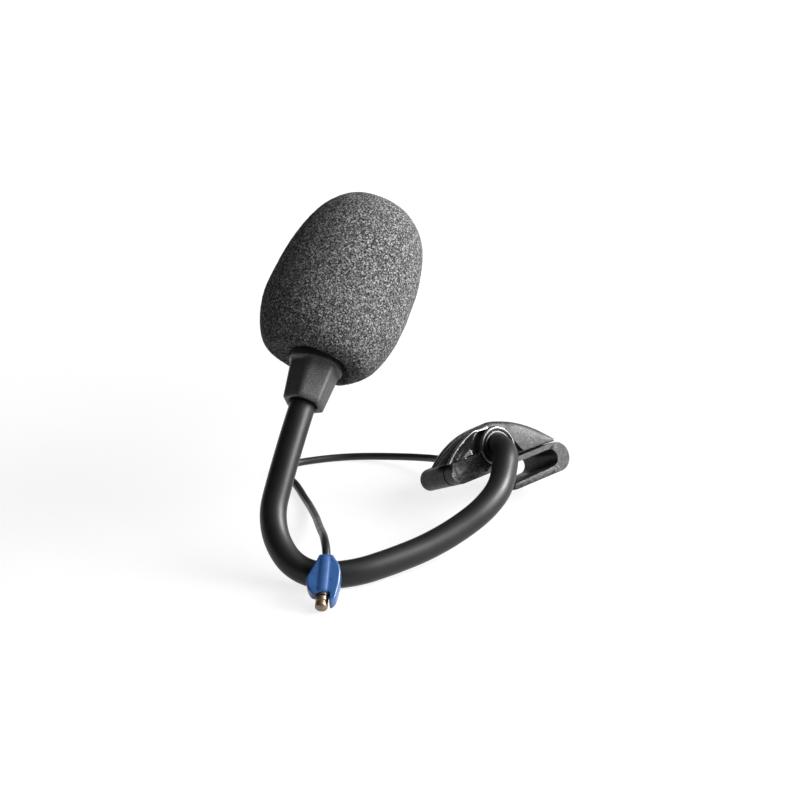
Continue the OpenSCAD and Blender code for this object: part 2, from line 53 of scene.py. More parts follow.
MM = 0.001
REST_SHIFT = Vector((-22.905, -33.95, 0))
CAMERA_AT, CAMERA_TILT = Vector((18.24, -408.69, 196.11)), 70
CLIP_AT, CLIP_TURN = Vector((43.4, 46.5, 17.8)), (-26, -6, 36)
PLUG_AT, PLUG_TURN = Vector((0.9, -2.5, 9.0)), (123, 0, -4)
BOOM_LEAD_IN, BOOM_BACK, BOOM_TAIL = 1.0, 8.0, 2.5
BOOM_SAG = Vector((-1.15, 0.0, -0.75))
BOOM_BENDS = (  # radius, angle and roll of each bend, from the clip to the neck
    (9, 68.5, -48), (32, 37.5, -50), (75, 14.5, -51), (160, 4, 27), (26, 25, 35), (11, 59.5, -26), (19, 48, -16),
    (385, 4, 34),
)
CORD_ROUTE = (
    (34.07, 60.83, 9.52), (32.1, 63.84, 7.77), (31, 65.5, 6.8), (29, 68.6, 5.4), (26.2, 71.8, 4.4),
    (22.1, 75, 3.4), (18, 77.4, 2.6), (14, 79.1, 2), (9, 80.4, 1.5), (4.4, 80.8, 1.2),
    (-0.6, 80.2, 1.05), (-5.6, 78.6, 1.05), (-10, 76.6, 1.05), (-13.2, 73.8, 1.05), (-14.2, 70, 1.05),
    (-12.6, 66.6, 1.05), (-10.2, 62.6, 1.05), (-8.6, 58, 1.05), (-7, 52.4, 1.1), (-5.4, 46.4, 1.5),
    (-4.2, 40.2, 2.4), (-3.1, 33.8, 3.5), (-2.4, 28.4, 4.6), (-1.8, 22.8, 6), (-1.2, 17.4, 7.4),
    (-0.7, 12.6, 8.8), (-0.1, 8, 9.9), (0.4, 3.6, 10.4), (0.8, 0.2, 10.1), (0.95, -1.6, 9.4),
    (0.9, -2.5, 9),
)


def shifted(offset):
    return Matrix.Translation(Vector(offset))


def turned(x, y, z):
    return (
        Matrix.Rotation(radians(z), 4, "Z")
        @ Matrix.Rotation(radians(y), 4, "Y")
        @ Matrix.Rotation(radians(x), 4, "X")
    )


CLIP_TO_SWIVEL = turned(-90, 0, 0)
AT_CLIP = shifted(REST_SHIFT + CLIP_AT) @ turned(*CLIP_TURN)
AT_SWIVEL = AT_CLIP @ CLIP_TO_SWIVEL  # z runs backwards along the swivel
AT_PLUG = shifted(REST_SHIFT + PLUG_AT) @ turned(*PLUG_TURN)


def boom_stations(step):
    """Places along the boom's centreline, each with the roll gathered so far."""
    place, roll = AT_CLIP @ turned(90, 90, 0), 0.0
    stations = [(place @ shifted((0, 0, z)), 0) for z in (-BOOM_BACK, -4, 0, BOOM_LEAD_IN * 0.6)]
    place = place @ shifted((0, 0, BOOM_LEAD_IN))
    for radius, angle, turn in BOOM_BENDS:
        roll += radians(turn)
        start = place @ turned(0, 0, turn) @ shifted((radius, 0, 0))
        count = max(3, round(radius * radians(angle) / step))
        bend = [start @ turned(0, angle * i / count, 0) @ shifted((-radius, 0, 0)) for i in range(count + 1)]
        place = bend.pop()
        stations += [(spot, roll) for spot in bend]
    return [*stations, (place, roll), (place @ shifted((0, 0, BOOM_TAIL)), roll)], place


def sagging(stations):
    """The same places, with the free bend beside the clip sagging under the boom's weight."""
    made, run, last = [], -BOOM_BACK, None
    for place, roll in stations:
        here = place.translation
        run += (here - last).length if last else 0.0
        last = here.copy()
        share = smooth_step(0.0, 5.0, run) * (1 - smooth_step(11.0, 24.0, run))
        made.append((shifted(BOOM_SAG * share) @ place, roll))
    return made


AT_HEAD = boom_stations(4)[1]  # z runs from the end of the boom up through the capsule


# ---- settings ----


def colour_setting(name, description, default):
    return bpy.props.FloatVectorProperty(
        name=name, description=description, default=default, subtype="COLOR", size=3, min=0, max=1)


def length_setting(name, description, default, low, high):
    return bpy.props.FloatProperty(
        name=name, description=description, default=default, min=low, max=high, subtype="DISTANCE", unit="LENGTH")


def power_setting(name, description, default):
    return bpy.props.FloatProperty(
        name=name, description=description, default=default, min=0, max=100, subtype="POWER", unit="POWER")


class BoomMicLooks(bpy.types.PropertyGroup):
    # Painted light and shade: the foam's holes get a near-black shade colour and its struts a pale lit colour.
    foam_hole_shade_colour: colour_setting("Foam", "Colour of the foam between its struts", (0.011, 0.011, 0.012))
    foam_strut_lit_colour: colour_setting("Foam struts", "Colour of the foam's struts", (0.62, 0.62, 0.62))
    rubber_colour: colour_setting("Rubber", "Colour of the boom and the cord", (0.011, 0.011, 0.012))
    clip_colour: colour_setting("Clip", "Colour of the clip's moulded plastic", (0.018, 0.018, 0.019))
    plug_colour: colour_setting("Plug", "Colour of the plug's moulded body", (0.035, 0.105, 0.3))
    tip_colour: colour_setting("Plug tip", "Colour of the plug's metal tip", (0.32, 0.24, 0.17))


class BoomMicSizes(bpy.types.PropertyGroup):
    foam_cell: length_setting("Foam cell", "Width of one open cell", 0.00034, 0.0001, 0.003)
    foam_fuzz: length_setting("Foam unevenness", "How far the foam's skin stands in and out", 0.00012, 0, 0.001)
    edge_round: length_setting("Edge rounding", "Width of the clip's rounded edges", 0.00022, 0, 0.001)
    groove: length_setting("Grip groove", "Depth of the clip's grip grooves", 0.00075, 0, 0.0012)
    gland_rings: bpy.props.IntProperty(
        name="Gland rings", description="Number of rings moulded on the cord gland", min=0, max=6, default=4)


class BoomMicStudio(bpy.types.PropertyGroup):
    floor_colour: colour_setting("Floor", "Colour of the studio floor", (0.26, 0.26, 0.26))
    floor_glow: bpy.props.FloatProperty(
        name="Floor glow", description="Share of the floor's white that needs no light, which softens its shadows",
        min=0, max=1, default=0.8)
    sky_light: bpy.props.FloatProperty(
        name="Sky light", description="Strength of the even light from all around", min=0, max=2, default=0.05)
    key_power: power_setting("Key light", "Power of the tall softbox on the right", 8.0)
    fill_power: power_setting("Fill light", "Power of the wide softbox at the front right", 4.0)
    side_shine: power_setting("Side shine", "Power of the near softbox that only gloss shows", 0.8)
    high_shine: power_setting("High shine", "Power of the small high softbox that only gloss shows", 2.2)
    lens: bpy.props.FloatProperty(
        name="Lens", description="Focal length of the camera on a 36 mm sensor", subtype="DISTANCE_CAMERA",
        unit="CAMERA", min=10, max=300, default=85.5)


# ---- shapes ----


def placed(name, data):
    """A new object in the scene."""
    made = bpy.data.objects.new(name, data)
    bpy.context.scene.collection.objects.link(made)
    return made


class Skin:
    """Points and faces of one piece, gathered in millimetres."""

    def __init__(self):
        self.points, self.faces = [], []

    def ring(self, points):
        start = len(self.points)
        self.points += [tuple(p) for p in points]
        return list(range(start, start + len(points)))

    def bridge(self, a, b, closed=True):
        count = len(a)
        for i in range(count if closed else count - 1):
            j = (i + 1) % count
            self.faces.append((a[i], a[j], b[j], b[i]))

    def stack(self, rings, ends="flat", closed=True):
        """Bridges each ring to the next. The ends are capped flat, joined to each other or left open."""
        for a, b in zip(rings, rings[1:] + rings[:1] * (ends == "joined")):
            self.bridge(a, b, closed)
        if ends == "flat":
            self.cap(rings[0])
            self.cap(rings[-1])

    def cap(self, ring):
        self.faces.append(tuple(ring))

    def pole(self, ring, point):
        tip = self.ring([point])[0]
        for i in range(len(ring)):
            self.faces.append((ring[i], ring[(i + 1) % len(ring)], tip))

    def piece(self, name, place=Matrix.Identity(4), sharp=38):
        """The gathered skin as an object at its place in the row frame, in metres."""
        mesh = bpy.data.meshes.new(name)
        mesh.from_pydata([(place @ Vector(p)) * MM for p in self.points], [], self.faces)
        smoothed(mesh, sharp)
        return placed(name, mesh)


def smoothed(mesh, sharp=38):
    """Turns every face outwards and shades the mesh smoothly between its sharp edges."""
    shape = bmesh.new()
    shape.from_mesh(mesh)
    bmesh.ops.recalc_face_normals(shape, faces=shape.faces)
    shape.to_mesh(mesh)
    shape.free()
    mesh.polygons.foreach_set("use_smooth", [True] * len(mesh.polygons))
    mesh.set_sharp_from_angle(angle=radians(sharp))
    mesh.update()


def softened(path, closed=False, steps=4):
    """A path of (x, y, rounding) corners with each corner rounded off."""
    made, count = [], len(path)
    for i, (x, y, reach) in enumerate(path):
        here = Vector((x, y))
        if reach <= 0 or (not closed and i in (0, count - 1)):
            made.append((x, y))
            continue
        before, after = Vector(path[i - 1][:2]) - here, Vector(path[(i + 1) % count][:2]) - here
        start = here + before.normalized() * min(reach, before.length * 0.48)
        end = here + after.normalized() * min(reach, after.length * 0.48)
        for k in range(steps + 1):
            t = k / steps
            made.append(tuple(start * (1 - t) ** 2 + here * 2 * t * (1 - t) + end * t * t))
    return made


def circle(radius, z, count=48, start=0.0):
    turns = [start + tau * i / count for i in range(count)]
    return [(radius * cos(a), radius * sin(a), z) for a in turns]


def lathe(skin, profile, count=48, loop=True):
    """Revolves a profile of (radius, height) about z. A loop closes on itself; otherwise its ends are closed."""
    rings = [skin.ring(circle(r, z, count)) for r, z in profile if r > 0]
    skin.stack(rings, "joined" if loop else "open")
    for ring, (r, z) in () if loop else ((rings[0], profile[0]), (rings[-1], profile[-1])):
        if r > 0:
            skin.cap(ring)
        else:
            skin.pole(ring, (0, 0, z))


def smooth_step(low, high, x):
    t = min(1.0, max(0.0, (x - low) / (high - low)))
    return t * t * (3 - 2 * t)


def between(table, x):
    """A value read from a table of (x, value) pairs, straight between its rows."""
    if x <= table[0][0]:
        return table[0][1]
    for (x0, v0), (x1, v1) in zip(table, table[1:]):
        if x <= x1:
            return v0 + (v1 - v0) * (x - x0) / (x1 - x0)
    return table[-1][1]


def rounded_solid(node, name, width, cutter=None):
    """A frame node's solid with whole flat faces and rounded edges, cut where asked, standing for the node."""
    sharp = 32
    shape = bmesh.new()
    shape.from_mesh(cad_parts[node].data)
    bmesh.ops.remove_doubles(shape, verts=shape.verts, dist=0.004 * MM)
    bmesh.ops.dissolve_limit(
        shape, angle_limit=radians(0.6), verts=shape.verts, edges=shape.edges, use_dissolve_boundaries=False)
    mesh = bpy.data.meshes.new(name)
    shape.to_mesh(mesh)
    shape.free()
    made = placed(name, mesh)
    if cutter:
        cut = made.modifiers.new("Cut", "BOOLEAN")
        cut.operation, cut.solver, cut.object = "DIFFERENCE", "EXACT", cutter
        settle(made, sharp)
        bpy.data.objects.remove(cutter)
    made.modifiers.new("Plain faces", "TRIANGULATE").min_vertices = 5
    rounding = made.modifiers.new("Edge rounding", "BEVEL")
    rounding.width, rounding.segments, rounding.miter_outer = width, 3, "MITER_ARC"
    rounding.limit_method, rounding.angle_limit = "ANGLE", radians(sharp)
    even = made.modifiers.new("Even shading", "WEIGHTED_NORMAL")
    even.weight, even.keep_sharp = 80, False
    settle(made, None)
    made.data.polygons.foreach_set("use_smooth", [True] * len(made.data.polygons))
    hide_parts(node)
    return made


def settle(made, sharp):
    """Applies a piece's modifiers to its mesh, and shades it anew where an angle is given."""
    bpy.context.view_layer.update()
    ready = made.evaluated_get(bpy.context.evaluated_depsgraph_get())
    mesh = bpy.data.meshes.new_from_object(ready)
    made.modifiers.clear()
    made.data = mesh
    if sharp is not None:
        smoothed(mesh, sharp)


def dress(piece, body, slot, finish, *nodes):
    """Puts a piece on its body, with its finish and the frame nodes it stands for. Its slot argument is not used."""
    piece.data.materials.clear()
    piece.data.materials.append(finish)
    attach(piece, body)
    if nodes:
        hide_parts(*nodes)
    return piece


# ---- finishes ----


class Wiring:
    """Short hands for adding and joining the nodes of one tree."""

    def __init__(self, tree):
        self.tree = tree

    def add(self, kind, values=(), **settings):
        node = self.tree.nodes.new(kind)
        for key, value in settings.items():
            setattr(node, key, value)
        return self.fill(node, dict(values))

    def fill(self, node, values):
        """Links or sets the inputs of a node."""
        for key, value in values.items():
            if isinstance(value, bpy.types.NodeSocket):
                self.tree.links.new(value, node.inputs[key])
            else:
                node.inputs[key].default_value = value
        return node

    def sum(self, kind, a, b, clamp=False):
        return self.add("ShaderNodeMath", {0: a, 1: b}, operation=kind, use_clamp=clamp).outputs[0]

    def spread(self, value, low, high, to_low=0.0, to_high=1.0):
        ends = {"From Min": low, "From Max": high, "To Min": to_low, "To Max": to_high}
        return self.add("ShaderNodeMapRange", {"Value": value, **ends}).outputs["Result"]

    def mix(self, share, a, b):
        return self.add("ShaderNodeMix", {"Factor": share, "A": a, "B": b}, data_type="RGBA").outputs["Result"]

    def own(self):
        """The surface's own coordinates."""
        return self.add("ShaderNodeTexCoord").outputs["Object"]

    def scaled(self, size):
        """The surface's own coordinates, counted in units of the given size in millimetres."""
        values = {0: self.own(), "Scale": self.sum("DIVIDE", 1000.0, size)}
        return self.add("ShaderNodeVectorMath", values, operation="SCALE").outputs["Vector"]

    def noise(self, place, detail, roughness=0.5, scale=1.0):
        look = {"Scale": scale, "Detail": detail, "Roughness": roughness}
        return self.add("ShaderNodeTexNoise", {"Vector": place, **look}).outputs["Fac"]

    def group(self, name, values=()):
        """The outputs of a shared group, built at its first use, with the given values on its inputs."""
        tree = bpy.data.node_groups.get(name) or GROUPS[name](name)
        return self.add("ShaderNodeGroup", values, node_tree=tree).outputs

    def relief(self, height, strength, depth):
        """A bump of the given depth in millimetres."""
        values = {"Height": height, "Strength": strength, "Distance": depth * MM}
        return self.add("ShaderNodeBump", values).outputs["Normal"]


def node_group(name, inputs, outputs):
    """A new shader group: its tree, its wiring, its given values and its output node."""
    group = bpy.data.node_groups.new(name, "ShaderNodeTree")
    for label, value in inputs.items():
        group.interface.new_socket(label, in_out="INPUT", socket_type="NodeSocketFloat").default_value = value
    for label in outputs:
        group.interface.new_socket(label, in_out="OUTPUT", socket_type="NodeSocketFloat")
    w = Wiring(group)
    return group, w, w.add("NodeGroupInput").outputs, w.add("NodeGroupOutput")


def grain_group(name):
    """Fine moulded or worn grain, broad uneven patches, and loose specks that serve as painted glints."""
    group, w, given, out = node_group(name, {"Grain size": 0.3, "Patch size": 8.0}, ("Grain", "Patches", "Glints"))
    fine = w.noise(w.scaled(given["Grain size"]), 3.0, 0.65)
    broad = w.noise(w.scaled(given["Patch size"]), 4.0, 0.6)
    w.fill(out, {"Grain": fine, "Patches": w.spread(broad, 0.3, 0.7), "Glints": w.spread(fine, 0.5, 0.64)})
    return group


def worn_and_sheened_group(name):
    """Where hands and cloth have worn the edges pale; the same pale edges also stand in for painted highlights along
    them.
    """
    group, w, given, out = node_group(name, {"Start": 0.53, "End": 0.62, "Break-up size": 1.2}, ("Wear and sheen",))
    point = w.add("ShaderNodeNewGeometry").outputs["Pointiness"]
    edge = w.spread(point, given["Start"], given["End"])
    broken = w.noise(w.scaled(given["Break-up size"]), 4.0)
    w.fill(out, {"Wear and sheen": w.sum("MULTIPLY", edge, w.spread(broken, 0.35, 0.62), True)})
    return group


def cell_group(name):
    """Foam cells: struts painted bright as if lit, around holes painted dark as shade inside the cells, and their
    depth.
    """
    group, w, given, out = node_group(name, {"Cell size": 0.42}, ("Struts", "Depth", "Patches"))
    place = w.scaled(given["Cell size"])
    edges, cells = [w.add("ShaderNodeTexVoronoi", {"Vector": place, "Scale": 1.0}, feature=feature).outputs
                    for feature in ("DISTANCE_TO_EDGE", "F1")]
    pale = w.add("ShaderNodeTexWhiteNoise", {"Vector": cells["Position"]}, noise_dimensions="3D").outputs["Value"]
    loose = w.noise(place, 3.0, 0.7, 0.8)
    strut = w.spread(edges["Distance"], 0.16, 0.02)
    lit = w.sum("MULTIPLY", w.sum("MULTIPLY", strut, 0.75), w.spread(loose, 0.42, 0.66), True)
    flat = w.sum("MULTIPLY", w.spread(pale, 0.45, 0.95), w.spread(loose, 0.38, 0.6), True)
    broad = w.noise(w.scaled(w.sum("MULTIPLY", given["Cell size"], 22.0)), 3.0)
    w.fill(out, {
        "Struts": w.sum("MAXIMUM", lit, flat, True),
        "Depth": w.sum("ADD", w.sum("MULTIPLY", strut, 0.6), w.sum("MULTIPLY", loose, 0.8)),
        "Patches": w.spread(broad, 0.3, 0.7),
    })
    return group


GROUPS = {"Fine grain": grain_group, "Worn and sheened edges": worn_and_sheened_group, "Open cells": cell_group}


def new_finish(name):
    finish = bpy.data.materials.new(name)
    finish.use_nodes = True
    return finish, Wiring(finish.node_tree), finish.node_tree.nodes["Principled BSDF"]


def opaque(colour):
    return (*colour, 1.0)


def lighter(colour, by):
    return opaque([min(1.0, c * by + 0.002) for c in colour])


def moulded(name, colour, rough=0.42, spread=0.12, grain=0.3, patch=8.0, bump=0.25, depth=0.03, edge_wear_and_sheen=0.0,
            specular=0.5, coat=0.0, metallic=0.0, pale=2.0, tint=1.25, glint_dots=0.0):
    """Plastic, rubber or metal with a fine grain, uneven gloss, edges worn pale that also serve as painted
    highlights, and pale specks painted as glints.
    """
    if name in bpy.data.materials:
        return bpy.data.materials[name]
    finish, w, shader = new_finish(name)
    fine = w.group("Fine grain", {"Grain size": grain, "Patch size": patch})
    base = w.mix(fine["Patches"], opaque(colour), lighter(colour, tint))
    # Painted glints: pale specks mixed into the base colour.
    if glint_dots:
        base = w.mix(w.sum("MULTIPLY", fine["Glints"], glint_dots), base, lighter(colour, 9.0))
    # Pale edges: part wear, part painted highlight along convex edges.
    if edge_wear_and_sheen:
        share = w.sum("MULTIPLY", w.group("Worn and sheened edges")["Wear and sheen"], edge_wear_and_sheen)
        base = w.mix(share, base, lighter(colour, pale * 2.2))
    w.fill(shader, {
        "Base Color": base,
        "Roughness": w.spread(fine["Patches"], 0.0, 1.0, rough - spread / 2, rough + spread / 2),
        "Normal": w.relief(fine["Grain"], bump, depth),
        "Specular IOR Level": specular,
        "Coat Weight": coat,
        "Coat Roughness": 0.12,
        "Metallic": metallic,
    })
    return finish


def foam_finish(looks, sizes):
    finish, w, shader = new_finish("Windscreen foam")
    cells = w.group("Open cells", {"Cell size": sizes.foam_cell / MM})
    # Painted shade: the holes between the struts take the near-black shade colour, and the struts take a pale colour
    # painted as lit.
    dark = w.mix(cells["Patches"], opaque(looks.foam_hole_shade_colour), lighter(looks.foam_hole_shade_colour, 1.35))
    w.fill(shader, {
        "Base Color": w.mix(cells["Struts"], dark, opaque(looks.foam_strut_lit_colour)),
        "Roughness": w.spread(cells["Struts"], 0.0, 1.0, 0.95, 0.6),
        "Normal": w.relief(cells["Depth"], 0.7, 0.14),
        "Specular IOR Level": 0.25,
    })
    return finish


def cord_finish(looks):
    return moulded("Cord rubber", looks.rubber_colour, rough=0.4, grain=0.15, patch=5, bump=0.2, depth=0.015,
                   specular=0.45)


def clip_finish(looks):
    # The clip's pale edges are part wear, part painted highlight; its pale specks are painted glints.
    return moulded("Clip plastic", looks.clip_colour, spread=0.16, grain=0.55, patch=4, bump=0.9, depth=0.05,
                   edge_wear_and_sheen=0.6, specular=0.18, glint_dots=0.55)


def steel_finish(name="Plain steel", colour=(0.5, 0.5, 0.52)):
    return moulded(name, colour, rough=0.3, spread=0.15, grain=0.15, patch=4, bump=0.15, depth=0.01, metallic=1.0,
                   tint=1.15)


# ---- the pieces ----


class OBJECT_OT_boom_mic_camera(bpy.types.Operator):
    """Place the camera"""

    bl_idname = "object.boom_mic_camera"
    bl_label = "Camera"

    def execute(self, context):
        lens = bpy.data.cameras.new("Studio camera")
        lens.lens, lens.sensor_width = context.scene.boom_mic_studio.lens, 36.0
        lens.clip_start, lens.clip_end = 0.01, 20.0
        camera = placed("Studio camera", lens)
        camera.location = (CAMERA_AT + REST_SHIFT) * MM
        camera.rotation_euler = (radians(CAMERA_TILT), 0, 0)
        context.scene.camera = camera
        return {"FINISHED"}


def cord_line(steps):
    """The cord's centreline in the row frame, in millimetres, with its direction at each point."""
    route = [Vector(p) + REST_SHIFT for p in CORD_ROUTE]
    line = []
    for i in range(len(route) - 1):
        p, q, r, s = route[max(0, i - 1)], route[i], route[i + 1], route[min(len(route) - 1, i + 2)]
        for t in (k / steps for k in range(steps)):
            line.append(0.5 * (2 * q + (r - p) * t + (2 * p - 5 * q + 4 * r - s) * t * t
                               + (3 * q - p - 3 * r + s) * t ** 3))
    line.append(route[-1])
    ways = [(line[i + 1] - line[i - 1]).normalized() for i in range(1, len(line) - 1)]
    out = (AT_CLIP.to_3x3() @ Vector((0, 1, 0))).normalized()
    into = (AT_PLUG.to_3x3() @ Vector((0, 0, 1))).normalized()
    return line, [out, *ways, into]


class OBJECT_OT_boom_mic_cord(bpy.types.Operator):
    """Build the cord, its ribbed gland and the plug with its tip"""

    bl_idname = "object.boom_mic_cord"
    bl_label = "Cord and plug"

    cord_radius = 1.0

    def execute(self, context):
        looks, sizes = context.scene.boom_mic_looks, context.scene.boom_mic_sizes
        line, ways = cord_line(5)
        skin, rings, side = Skin(), [], Vector((0, 0, 1))
        for point, way in zip(line, ways):
            side = (side - side.dot(way) * way).normalized()
            other = way.cross(side)
            rings.append(skin.ring([point + x * side + y * other for x, y, _ in circle(self.cord_radius, 0, 16)]))
        skin.stack(rings)
        cord = dress(skin.piece("cord_sleeve"), "boom", "cord_rubber", cord_finish(looks), "cord")
        self.gland(looks, sizes)
        plug = self.plug(looks)
        tip = self.tip(looks)
        return {"FINISHED"}

    def gland(self, looks, sizes):
        """The tapered strain relief behind the swivel, with its moulded rings."""
        start, end, tip_radius, bore_end = 14.25, 19.0, 1.5, 10.1
        path = [(2.95, bore_end, 0), (2.95, start, 0), (3.7, start, 0.1), (3.7, start + 0.5, 0.1)]
        pitch = (end - start - 0.9) / max(1, sizes.gland_rings)
        for i in range(sizes.gland_rings):
            z0 = start + 0.6 + i * pitch
            z1 = z0 + 0.62 * pitch
            outer = between(((start, 3.55), (end, tip_radius + 0.1)), z0)
            path += [(outer - 0.35, z0, 0.04), (outer, z0 + 0.05, 0.08), (outer - 0.12, z1, 0.08),
                     (outer - 0.45, z1 + 0.02, 0.04)]
        path += [(tip_radius, end - 0.25, 0.1), (tip_radius - 0.1, end, 0.08), (0.9, end, 0), (0.9, bore_end, 0)]
        skin = Skin()
        lathe(skin, softened(path, True, 2), 40)
        dress(skin.piece("gland_ribbed", AT_SWIVEL, 40), "boom", "gland_rubber", cord_finish(looks), "cord_gland")

    def plug(self, looks):
        """The moulded body: a flat winged shell around a round core, blended into one."""
        outline = softened([
            (-1.5, 0, 0.3), (1.8, 0, 0.4), (2.5, 1.2, 0.4), (3.5, 2.5, 0.6), (4, 4.6, 1), (4, 7.8, 1),
            (3.7, 9.3, 0.7), (3.5, 10.8, 0.6), (3.2, 12.1, 0.5), (2.5, 13, 0.4), (1.75, 13.2, 0.4),
            (1.75, 10.4, 0.2), (-2.2, 10.9, 0.5), (-2.9, 10.4, 0.7), (-3.6, 9.2, 0.8), (-4.1, 7.7, 0.6),
            (-4.1, 6.4, 0.6), (-3.1, 4.1, 0.8), (-2.3, 2.2, 0.6)], True, 3)
        core = [(1.35, 0.1), (1.55, 0.02), (2.02, 0.7), (2.1, 1.6), (2.1, 9.6), (1.95, 10.2), (1.6, 10.36)]
        skin, edge = Skin(), ((-1.7, 0.5), (-1.58, 0.22), (-1.3, 0.06))
        layers = *edge, *((-y, inset) for y, inset in reversed(edge))
        skin.stack([skin.ring([(x, y, z) for x, z in self.drawn_in(outline, inset)]) for y, inset in layers])
        lathe(skin, core, 32, False)
        plug = skin.piece("plug_moulding", AT_PLUG)
        blend = plug.modifiers.new("Blend", "REMESH")
        blend.mode, blend.voxel_size = "VOXEL", 0.14 * MM
        calm = plug.modifiers.new("Calm", "SMOOTH")
        calm.factor, calm.iterations = 0.5, 6
        settle(plug, 60)
        # The plug's pale edges are part wear, part painted highlight.
        finish = moulded("Plug moulding", looks.plug_colour, rough=0.3, spread=0.14, grain=0.25, patch=3, bump=0.2,
                         edge_wear_and_sheen=0.2, pale=1.4)
        return dress(plug, "boom", "plug_blue", finish, "plug_body")

    @staticmethod
    def drawn_in(outline, inset):
        """A closed outline moved inwards."""
        made = []
        for (x0, y0), (x, y), (x1, y1) in zip(outline[-1:] + outline[:-1], outline, outline[1:] + outline[:1]):
            way = Vector((x1 - x0, y1 - y0)).normalized()
            made.append((x - way.y * inset, y + way.x * inset))
        return made

    def tip(self, looks):
        """The metal tip: a pin with a shallow neck and a rounded end."""
        path = [(1.0, 10.5, 0), (1.08, 11.06, 0), (1.42, 11.08, 0.06), (1.5, 11.25, 0.1), (1.5, 12.2, 0.08),
                (1.32, 12.36, 0.08), (1.32, 12.6, 0.08), (1.5, 12.76, 0.08), (1.5, 13.7, 0.3), (1.1, 14.12, 0.3),
                (0.5, 14.18, 0.2)]
        skin = Skin()
        lathe(skin, [*softened(path, False, 3), (0, 14.19)], 40, False)
        finish = moulded("Tarnished contact", looks.tip_colour, spread=0.2, grain=0.12, patch=1.6, bump=0.2,
                         depth=0.02, metallic=0.85, tint=0.6)
        return dress(skin.piece("plug_tip_turned", AT_PLUG, 45), "boom", "contact_brass", finish, "plug_tip")


class OBJECT_OT_boom_mic_boom(bpy.types.Operator):
    """Build the rubber-covered boom, its ferrule and the neck under the windscreen"""

    bl_idname = "object.boom_mic_boom"
    bl_label = "Boom and neck"

    def execute(self, context):
        looks = context.scene.boom_mic_looks
        stations = sagging(boom_stations(0.9)[0])
        sleeve = self.pipe("boom_rubber_sleeve", 3.25, 2.11, stations, 56)
        finish = moulded("Boom rubber", looks.rubber_colour, spread=0.08, grain=0.22, patch=11, bump=0.12, depth=0.02,
                         specular=0.3)
        dress(sleeve, "boom", "boom_rubber", finish, "boom_sheath")
        core = self.pipe("boom_wound_core", 2.0, 1.0, stations, 24)
        dress(core, "boom", "steel", steel_finish(), "boom_core")
        self.neck(looks)
        self.ferrule(looks)
        return {"FINISHED"}

    @staticmethod
    def pipe(name, outer, inner, stations, count):
        """A tube along the boom."""
        skin = Skin()
        outside, inside = [
            [skin.ring([place @ Vector(p) for p in circle(radius, 0, count, -roll)]) for place, roll in stations]
            for radius in (outer, inner)]
        skin.stack(outside + inside[::-1], "joined")
        return skin.piece(name)

    def neck(self, looks):
        """A six-sided taper with softened corners, a round lip and a round flange."""
        low, top, low_half, top_half, count = -1.7, 9.05, 4.7, 5.9, 128
        facet, facet_turn, corner, soft = 60, 5.4, 0.58, 14.0

        def faceted(angle, z, drawn_in):
            half = low_half + (top_half - low_half) * (z - low) / (top - low) - drawn_in
            off = (degrees(angle) + facet_turn) % facet - facet / 2
            flat, round_off = half / cos(radians(off)), half + corner
            return -log(exp(-soft * flat) + exp(-soft * round_off)) / soft + 0.01

        bore = [(1.1, 2.56), (3.29, 2.56), (3.29, -0.9), (3.5, -1.3), (4.0, -1.68)]
        flats = [(low, 0.32), (-1.62, 0.12), *((z, 0) for z in (-1.45, -0.4, 1.5, 3.0, 4.5, 6.0, 7.3, 8.0)),
                 (8.3, -0.05), (8.52, -0.18)]  # height, and how far the flats are drawn in
        flange = [(6.4, 8.66), (6.62, 8.7), (6.82, 8.84), (6.92, top), (6.98, 10.9), (6.9, 11.12), (6.72, 11.22),
                  (5.8, 11.22), (5.76, 9.75), (4.44, 9.75), (4.44, 5.01), (1.1, 5.01)]
        skin = Skin()
        rings = [skin.ring(circle(r, z, count)) for r, z in bore]
        for z, drawn_in in flats:
            spokes = [(a, faceted(a, z, drawn_in)) for a in (tau * k / count for k in range(count))]
            rings.append(skin.ring([(r * cos(a), r * sin(a), z) for a, r in spokes]))
        rings += [skin.ring(circle(r, z, count)) for r, z in flange]
        skin.stack(rings, "joined")
        # The neck's pale edges are part wear, part painted highlight; its pale specks are painted glints.
        finish = moulded("Neck plastic", lighter(looks.clip_colour, 1.6)[:3], grain=0.26, patch=5, bump=0.6,
                         depth=0.04, edge_wear_and_sheen=0.9, pale=2.5, glint_dots=0.35)
        dress(skin.piece("neck_collar", AT_HEAD, 34), "boom", "neck_plastic", finish, "neck")

    def ferrule(self, looks):
        """The sleeve on the boom that the clip turns on, with a rounded front lip."""
        path = [(3.3, -0.3, 0.1), (3.45, -0.4, 0.1), (3.9, -0.4, 0.15), (4.0, -0.25, 0.1), (4.0, 0.6, 0.05),
                (3.75, 0.6, 0), (3.75, 14.2, 0.1), (3.04, 14.2, 0), (3.04, 8.06, 0), (3.3, 8.06, 0)]
        skin = Skin()
        lathe(skin, softened(path, True, 3), 56)
        # The ferrule's pale edges are part wear, part painted highlight.
        finish = moulded("Ferrule lacquer", looks.clip_colour, rough=0.32, grain=0.2, patch=4, bump=0.15, edge_wear_and_sheen=0.4)
        dress(skin.piece("ferrule_turned", AT_SWIVEL, 40), "boom", "ferrule_metal", finish, "root_ferrule")


